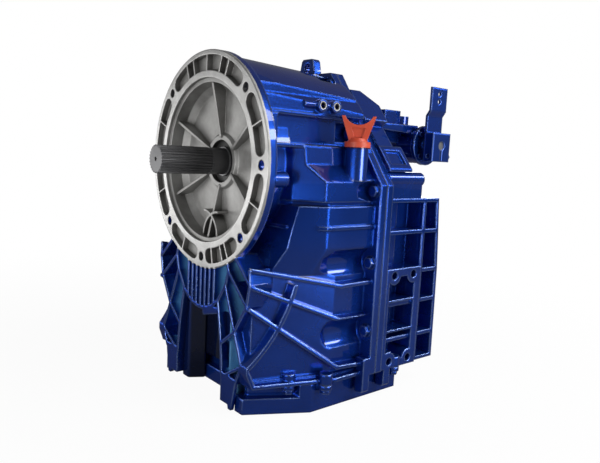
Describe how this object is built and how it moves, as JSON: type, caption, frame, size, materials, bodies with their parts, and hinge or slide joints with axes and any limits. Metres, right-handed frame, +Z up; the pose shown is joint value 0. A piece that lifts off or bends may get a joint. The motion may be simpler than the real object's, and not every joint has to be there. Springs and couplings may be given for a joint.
{
  "type": "marine gearbox",
  "caption": "Marine reversing gearbox: ribbed blue case with a round bell flange, splined input, side pads, oil pan, shift lever, dipstick and output coupling.",
  "frame": {"origin": "centre of the bell flange on its front face, on the input shaft's line", "axes": "-Y out of the bell flange towards the engine, +Y to the output coupling, +X to the lever side, +Z up"},
  "size_m": [0.4085, 0.546, 0.593],
  "materials": {
    "enamel": "gloss enamel over cast aluminium",
    "dark_steel": "black oxide",
    "steel": "machined",
    "clutch_lining": "sintered",
    "seal": "matt",
    "brass": "turned",
    "cap_plastic": "moulded",
    "strainer_mesh": "woven mesh"
  },
  "bodies": {
    "housing": {"front_case": "enamel", "rear_case": "enamel", "case_gasket": "seal", "case_bolts": "enamel", "oil_pan": "enamel", "pan_gasket": "seal", "pan_bolts": "enamel", "drain_plug": "steel", "input_seal": "seal", "input_front_bearing": "steel", "input_rear_bearing": "steel", "reverse_front_bearing": "steel", "reverse_rear_bearing": "steel", "output_front_bearing": "steel", "output_rear_bearing": "steel", "output_seal": "seal", "oil_pump": "enamel", "reverse_end_cap": "enamel", "cap_bolts": "steel", "oil_strainer": "strainer_mesh", "valve_body": "enamel", "valve_cover": "enamel", "valve_cover_screws": "enamel", "pressure_block": "enamel", "pressure_cap": "enamel", "vent_plug": "brass"},
    "input_line": {"input_shaft": "dark_steel", "forward_clutch_drum": "steel", "forward_clutch_plates": "clutch_lining", "pump_rotor": "steel"},
    "forward_gear": {"forward_pinion": "steel"},
    "reverse_line": {"reverse_shaft": "steel", "reverse_clutch_drum": "steel", "reverse_clutch_plates": "clutch_lining"},
    "reverse_gear": {"reverse_pinion": "steel"},
    "output_line": {"output_shaft": "steel", "output_gear": "steel", "output_coupling": "enamel", "output_nut": "steel"},
    "lever": {"control_shaft": "steel", "shift_lever": "enamel", "pinch_bolt": "enamel"},
    "filler_dipstick": {"dipstick_cap": "cap_plastic", "dipstick": "steel"}
  },
  "joints": [
    {"name": "input_spin", "type": "hinge", "parent": "housing", "child": "input_line", "pos_m": [0, 0, 0], "axis": [0, 1, 0], "continuous": true},
    {"name": "reverse_spin", "type": "hinge", "parent": "housing", "child": "reverse_line", "pos_m": [-0.09515, 0, -0.03077], "axis": [0, 1, 0], "continuous": true},
    {"name": "output_spin", "type": "hinge", "parent": "housing", "child": "output_line", "pos_m": [0, 0.3, -0.1625], "axis": [0, 1, 0], "continuous": true},
    {"name": "forward_pinion_spin", "type": "hinge", "parent": "housing", "child": "forward_gear", "pos_m": [0, 0.25, 0], "axis": [0, 1, 0], "continuous": true},
    {"name": "reverse_pinion_spin", "type": "hinge", "parent": "housing", "child": "reverse_gear", "pos_m": [-0.09515, 0.25, -0.03077], "axis": [0, 1, 0], "continuous": true},
    {"name": "lever_swing", "type": "hinge", "parent": "housing", "child": "lever", "pos_m": [0.14, 0.421, 0.047], "axis": [1, 0, 0], "range_deg": [-30, 30]},
    {"name": "dipstick_lift", "type": "slide", "parent": "housing", "child": "filler_dipstick", "axis": [0, 0, 1], "range_m": [0, 0.13]}
  ],
  "couplings": [
    {"joint": "reverse_spin", "follows": "input_spin", "ratio": -1},
    {"joint": "forward_pinion_spin", "follows": "output_spin", "ratio": -2.6111},
    {"joint": "reverse_pinion_spin", "follows": "output_spin", "ratio": -2.6111}
  ]
}
